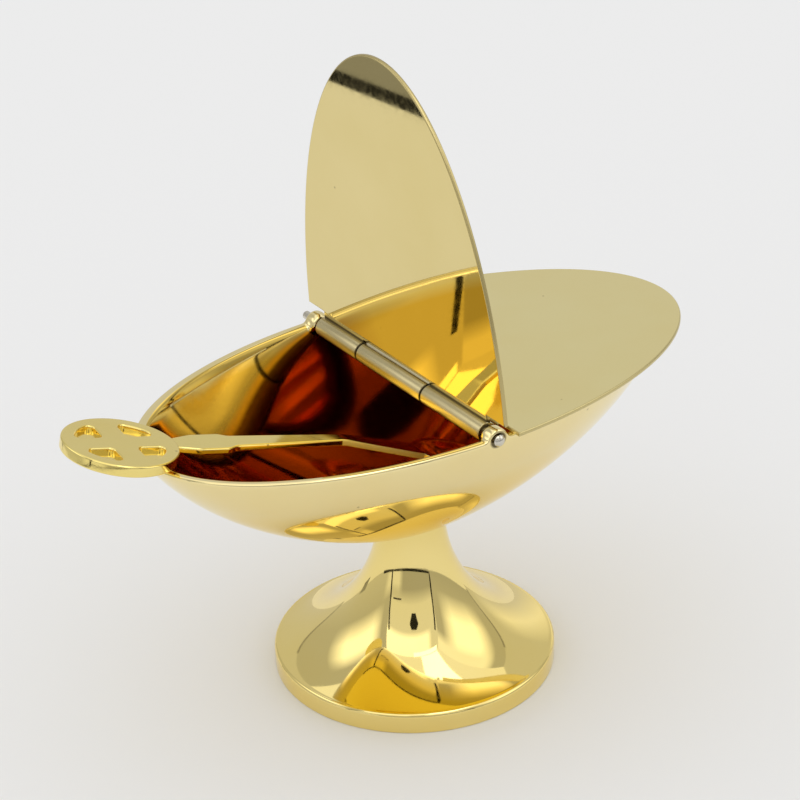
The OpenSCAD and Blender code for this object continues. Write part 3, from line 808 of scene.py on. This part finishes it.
def handle_path():
    """The handle's middle line: (distance, height, turn) from inside the medallion to inside the dish."""
    inside_medallion = 0.4
    inside_dish = 1
    step = 0.75
    bend_steps = 8
    start = MEDALLION_RADIUS - inside_medallion
    path = []
    for k in range(math.ceil((BEND_AT - start) / step)):
        path.append((start + step * k, -HANDLE_STEP - HANDLE_THICK / 2, 0.0))
    middle = BEND_OUTER - HANDLE_THICK / 2
    for k in range(bend_steps + 1):
        turn = math.radians(BEND_ANGLE * k / bend_steps)
        path.append((BEND_CENTRE.x + middle * math.sin(turn), BEND_CENTRE.z + middle * math.cos(turn), turn))
    along, height, turn = path[-1]
    for k in range(1, round(TAIL_LENGTH) + inside_dish + 1):
        path.append((along + k * math.cos(turn), height - k * math.sin(turn), turn))
    return path


def build_handle():
    """A rounded bar along its path; the sides of the tail are filed and not polished."""
    edge = 0.45
    thick = HANDLE_THICK / 2 - edge
    filed_share = 0.75
    top_from = thick + filed_share * edge
    path = handle_path()
    verts, faces, filed, count = [], [], [], 0
    for along, height, turn in path:
        half = handle_width(along) / 2 - edge
        section = []
        for quarter, (side, level) in enumerate(((1, 1), (-1, 1), (-1, -1), (1, -1))):
            section += arc((side * half, level * thick), edge, 90 * quarter, 90 * quarter + 90, 4)
        count = len(section)
        verts += [(along + v * math.sin(turn), u, height + v * math.cos(turn)) for u, v in section]
        filed += [float(turn > 0 and abs(v) < top_from) for _, v in section]
    for k in range(len(path) - 1):
        for i in range(count):
            j = (i + 1) % count
            faces.append([k * count + i, k * count + j, (k + 1) * count + j, (k + 1) * count + i])
    faces.append(list(range(count)))
    faces.append(list(range((len(path) - 1) * count, len(path) * count)))
    bar = make_piece(
        "spoon_handle_bar", verts, faces, in_boat, "spoon", "spoon_handle", handle_brass,
        flats=True)
    mark(bar, "filed", filed)


def build_dish():
    """The spoon's bowl: a stretched cap with a rounded lip."""
    outer_lip, inner_lip = 0.5, 0.4
    lip_angle = 2
    centre = DISH_RADIUS - DISH_DEPTH
    half_length, half_width = DISH_LENGTH / 2, DISH_WIDTH / 2
    inner_radius = DISH_RADIUS - DISH_WALL
    inner_width = math.sqrt(inner_radius ** 2 - centre ** 2)
    inner_length = inner_width * (DISH_LENGTH - 2 * DISH_WALL) / (DISH_WIDTH - 2 * DISH_WALL)
    top = -math.degrees(math.asin(centre / DISH_RADIUS)) - lip_angle
    inner_top = -math.degrees(math.asin(centre / inner_radius)) - lip_angle
    outer = oval_rings(arc((0, centre), DISH_RADIUS, -90, top, 24), half_length, half_width)
    inner = oval_rings(arc((0, centre), inner_radius, -90, inner_top, 24), inner_length, inner_width)
    lip = soft_corner(
        outer[-1],
        (half_length, half_width, 0),
        (half_length - outer_lip, half_width - outer_lip, 0), 4)[1:]
    lip += soft_corner(
        (inner_length + inner_lip, inner_width + inner_lip, 0),
        (inner_length, inner_width, 0),
        inner[-1], 4)[:-1]
    verts, faces = turned(outer + lip + inner[::-1], even_angles(128))
    make_piece("spoon_bowl_dish", verts, faces, at_dish, "spoon", "spoon_bowl", spoon_brass)


build_medallion()
build_handle()
build_dish()


# Camera at the photograph's angle

VIEW_AZIMUTH = math.radians(-33.521)
VIEW_ELEVATION = math.radians(27.242)
VIEW_ROLL = math.radians(-1.821)
VIEW_DISTANCE = 545.817
VIEW_MIDDLE = Vector((0, 0, 74))
AIM_RIGHT = -1.577
AIM_UP = -7.337
FOCAL_PIXELS = 2485.742
PHOTO_PIXELS = 800
SENSOR = 36


def look():
    from_middle = Vector((
        math.sin(VIEW_AZIMUTH) * math.cos(VIEW_ELEVATION),
        -math.cos(VIEW_AZIMUTH) * math.cos(VIEW_ELEVATION),
        math.sin(VIEW_ELEVATION)))
    eye = VIEW_MIDDLE + from_middle * VIEW_DISTANCE
    sideways = Vector((math.cos(VIEW_AZIMUTH), math.sin(VIEW_AZIMUTH), 0))
    aim = VIEW_MIDDLE + sideways * AIM_RIGHT + Vector((0, 0, AIM_UP))
    ahead = (aim - eye).normalized()
    level = ahead.cross(Vector((0, 0, 1))).normalized()
    upright = level.cross(ahead)
    right = level * math.cos(VIEW_ROLL) + upright * math.sin(VIEW_ROLL)
    up = upright * math.cos(VIEW_ROLL) - level * math.sin(VIEW_ROLL)
    data = bpy.data.cameras.new("camera")
    data.lens = FOCAL_PIXELS * SENSOR / PHOTO_PIXELS
    data.sensor_width = SENSOR
    data.clip_start = 0.01
    camera = bpy.data.objects.new("camera", data)
    scene.collection.objects.link(camera)
    turn = Matrix((right, up, -ahead)).transposed().to_4x4()
    camera.matrix_world = Matrix.Translation(eye * MM) @ turn
    scene.camera = camera


look()


# Stage: a pale paper floor, and a light tent that only reflections see

def paper(name, value):
    material = bpy.data.materials.new(name)
    material.use_nodes = True
    n = Nodes(material.node_tree)
    shader = n.add("ShaderNodeBsdfDiffuse", {"Color": (value, value, value, 1)})
    n.add("ShaderNodeOutputMaterial", {"Surface": shader.outputs[0]})
    return material


def glow(name, base, patches=()):
    """Lit cloth of the tent: a base level and soft patches of (axis, span, heights, softness, level)."""
    material = bpy.data.materials.new(name)
    material.use_nodes = True
    n = Nodes(material.node_tree)
    where = n.add("ShaderNodeSeparateXYZ", {0: n.add("ShaderNodeTexCoord").outputs["Object"]}).outputs
    shader = n.add("ShaderNodeEmission", {"Color": (1, 1, 1, 1), "Strength": base})
    level = None
    for axis, span, heights, soft, value in patches:
        cover = None
        for socket, (low, high) in ((where[axis], span), (where["Z"], heights)):
            for edge, start, end in ((low, 0.0, 1.0), (high, 1.0, 0.0)):
                part = ramp(n, socket, (edge - soft) * MM, (edge + soft) * MM, start, end)
                cover = reckon(n, "MULTIPLY", cover, part) if cover else part
        level = n.add("ShaderNodeMix", {"Factor": cover, "A": level or base, "B": value}).outputs["Result"]
    if level:
        n.tree.links.new(level, shader.inputs["Strength"])
    n.add("ShaderNodeOutputMaterial", {"Surface": shader.outputs[0]})
    return material


def stage_mesh(name, corners, material, tent=True):
    """A four-sided sheet of the stage. A tent's sheet stands square to the photograph's view."""
    mesh = bpy.data.meshes.new(name)
    mesh.from_pydata([Vector(c) * MM for c in corners], [], [[0, 1, 2, 3]])
    mesh.materials.append(material)
    obj = bpy.data.objects.new(name, mesh)
    scene.collection.objects.link(obj)
    if tent:
        obj.rotation_euler = (0, 0, VIEW_AZIMUTH)
        obj.visible_camera = False
        obj.visible_diffuse = False
        obj.visible_shadow = False


def wall(name, start, end, low, high, material):
    """An upright sheet of the tent between two places on the floor."""
    stage_mesh(name, [(*start, low), (*end, low), (*end, high), (*start, high)], material)


def level_sheet(name, x_span, y_span, height, material, tent=True):
    (x0, x1), (y0, y1) = x_span, y_span
    corners = [(x0, y0, height), (x1, y0, height), (x1, y1, height), (x0, y1, height)]
    stage_mesh(name, corners, material, tent)


def line(name, points, width, material):
    """A seam through points of (x, y, z), widened sideways where it rises, in height where it is level."""
    for (x0, y0, z0), (x1, y1, z1) in zip(points, points[1:]):
        if abs(z1 - z0) > math.hypot(x1 - x0, y1 - y0):
            across = Vector((-y0, x0, 0)).normalized() * (width / 2)
        else:
            across = Vector((0, 0, width / 2))
        start, end = Vector((x0, y0, z0)), Vector((x1, y1, z1))
        stage_mesh(name, [start - across, end - across, end + across, start + across], material)


# Places in the tent are in millimetres, with -Y towards the camera
FLOOR_HALF = 3000
FLOOR_SHADE = 0.855
TENT_HIGH = 560
LEFT_BACK = (-310, 369)
LEFT_FRONT = (-310, -279)
RIGHT_FRONT = (262, -302)
RIGHT_BACK = (420, 262)
LAMP_HIGH = 555
LENS_Y = -280
LENS_WAIST = 240
BACK_PATCHES = [("X", (80, 300), (40, 150), 50, 0.95)]
LEFT_PATCHES = [
    ("Y", (-400, 400), (-90, 90), 60, 0.58),
    ("Y", (-400, -170), (-90, 110), 30, 0.82),
    ("Y", (-150, 120), (190, 370), 50, 1.5),
]
RIGHT_PATCHES = [
    ("Y", (-500, 500), (-60, 60), 60, 0.42),
    ("Y", (-170, 110), (160, 700), 60, 1.5),
    ("Y", (-500, 110), (400, 700), 50, 1.1),
]
FRONT_PATCHES = [
    ("X", (-400, -150), (-90, 110), 30, 0.82),
    ("X", (-400, 400), (130, 900), 30, 0.8),
    ("X", (-400, 150), (325, 900), 25, 1.5),
]


def build_tent():
    """Walls with soft patches, a bright top and two lamp sheets."""
    wall("tent_back", RIGHT_BACK, LEFT_BACK, 0, TENT_HIGH, glow("tent_back", 0.62, BACK_PATCHES))
    wall("tent_left", LEFT_BACK, LEFT_FRONT, 16, TENT_HIGH, glow("tent_left", 0.5, LEFT_PATCHES))
    wall("tent_right", RIGHT_FRONT, RIGHT_BACK, 30, TENT_HIGH, glow("tent_right", 0.5, RIGHT_PATCHES))
    wall("tent_front", LEFT_FRONT, RIGHT_FRONT, 26, TENT_HIGH, glow("tent_front", 0.42, FRONT_PATCHES))
    across = (LEFT_BACK[0], RIGHT_BACK[0])
    deep = (RIGHT_FRONT[1], LEFT_BACK[1])
    level_sheet("tent_top", across, deep, TENT_HIGH, glow("tent_top", 1.0))
    lamp = glow("tent_lamp", 2.4)
    level_sheet("lamp", (60, 230), (-285, 20), LAMP_HIGH, lamp)
    wall("lamp_front", (-10, -286), (230, -292), 490, LAMP_HIGH, lamp)


def build_seams():
    """Dark seams, the camera's shape and a low board, as the polished brass mirrors them."""
    dark = glow("tent_seam", 0.02)
    soft_seam = glow("tent_soft_seam", 0.3)
    line("corner_left", [(-306, 364, 0), (-306, 364, 290)], 9, soft_seam)
    line("corner_right", [(414, 258, 20), (414, 258, 360)], 12, soft_seam)
    line("door_left", [(-305, -240, 18), (-300, -275, 160), (-268, -276, 335)], 20, dark)
    line("door_right", [(266, -286, 36), (245, -297, 160), (222, -297, 345)], 20, dark)
    line("door_foot", [(-304, -80, 18), (-304, -270, 24)], 10, dark)
    line("door_sill", [(-304, -275, 24), (0, -286, 32), (258, -297, 40)], 10, dark)
    line("door_cord", [(-250, -276, 146), (-130, -280, 138)], 7, dark)
    lens_left, lens_right = (-38, LENS_Y, LENS_WAIST), (40, LENS_Y, LENS_WAIST)
    stage_mesh("lens", [(-18, LENS_Y, 188), (18, LENS_Y, 188), lens_right, lens_left], dark)
    stage_mesh("lens_top", [lens_left, lens_right, (22, LENS_Y, 274), (-22, LENS_Y, 274)], dark)
    wall("board", (-262, 100), (-299, 169), 0, 30, glow("board", 0.3))
    wall("board_foot", (-261, 100), (-298, 169), 0, 3.2, dark)
    stage_mesh("board_hem", [(-262, 100, 0.4), (-299, 169, 0.4), (-295, 171, 0.4), (-258, 102, 0.4)], dark)


def build_world():
    """White light on the floor, and a plain pale surrounding for the camera and for reflections."""
    light = 0.98
    background = 0.838
    world = bpy.data.worlds.new("world")
    world.use_nodes = True
    scene.world = world
    n = Nodes(world.node_tree)
    path = n.add("ShaderNodeLightPath").outputs
    seen = reckon(n, "MAXIMUM", path["Is Camera Ray"], path["Is Glossy Ray"])
    soft = n.add("ShaderNodeBackground", {"Color": (1, 1, 1, 1), "Strength": light})
    pale = n.add("ShaderNodeBackground", {"Color": (background, background, background, 1), "Strength": 1.0})
    mix = n.add("ShaderNodeMixShader", {0: seen, 1: soft.outputs[0], 2: pale.outputs[0]})
    n.add("ShaderNodeOutputWorld", {"Surface": mix.outputs[0]})


floor_span = (-FLOOR_HALF, FLOOR_HALF)
level_sheet("floor", floor_span, floor_span, 0, paper("paper", FLOOR_SHADE), tent=False)
build_tent()
build_seams()
build_world()

scene.view_settings.view_transform = "Standard"
scene.cycles.max_bounces = 32
scene.cycles.glossy_bounces = 32
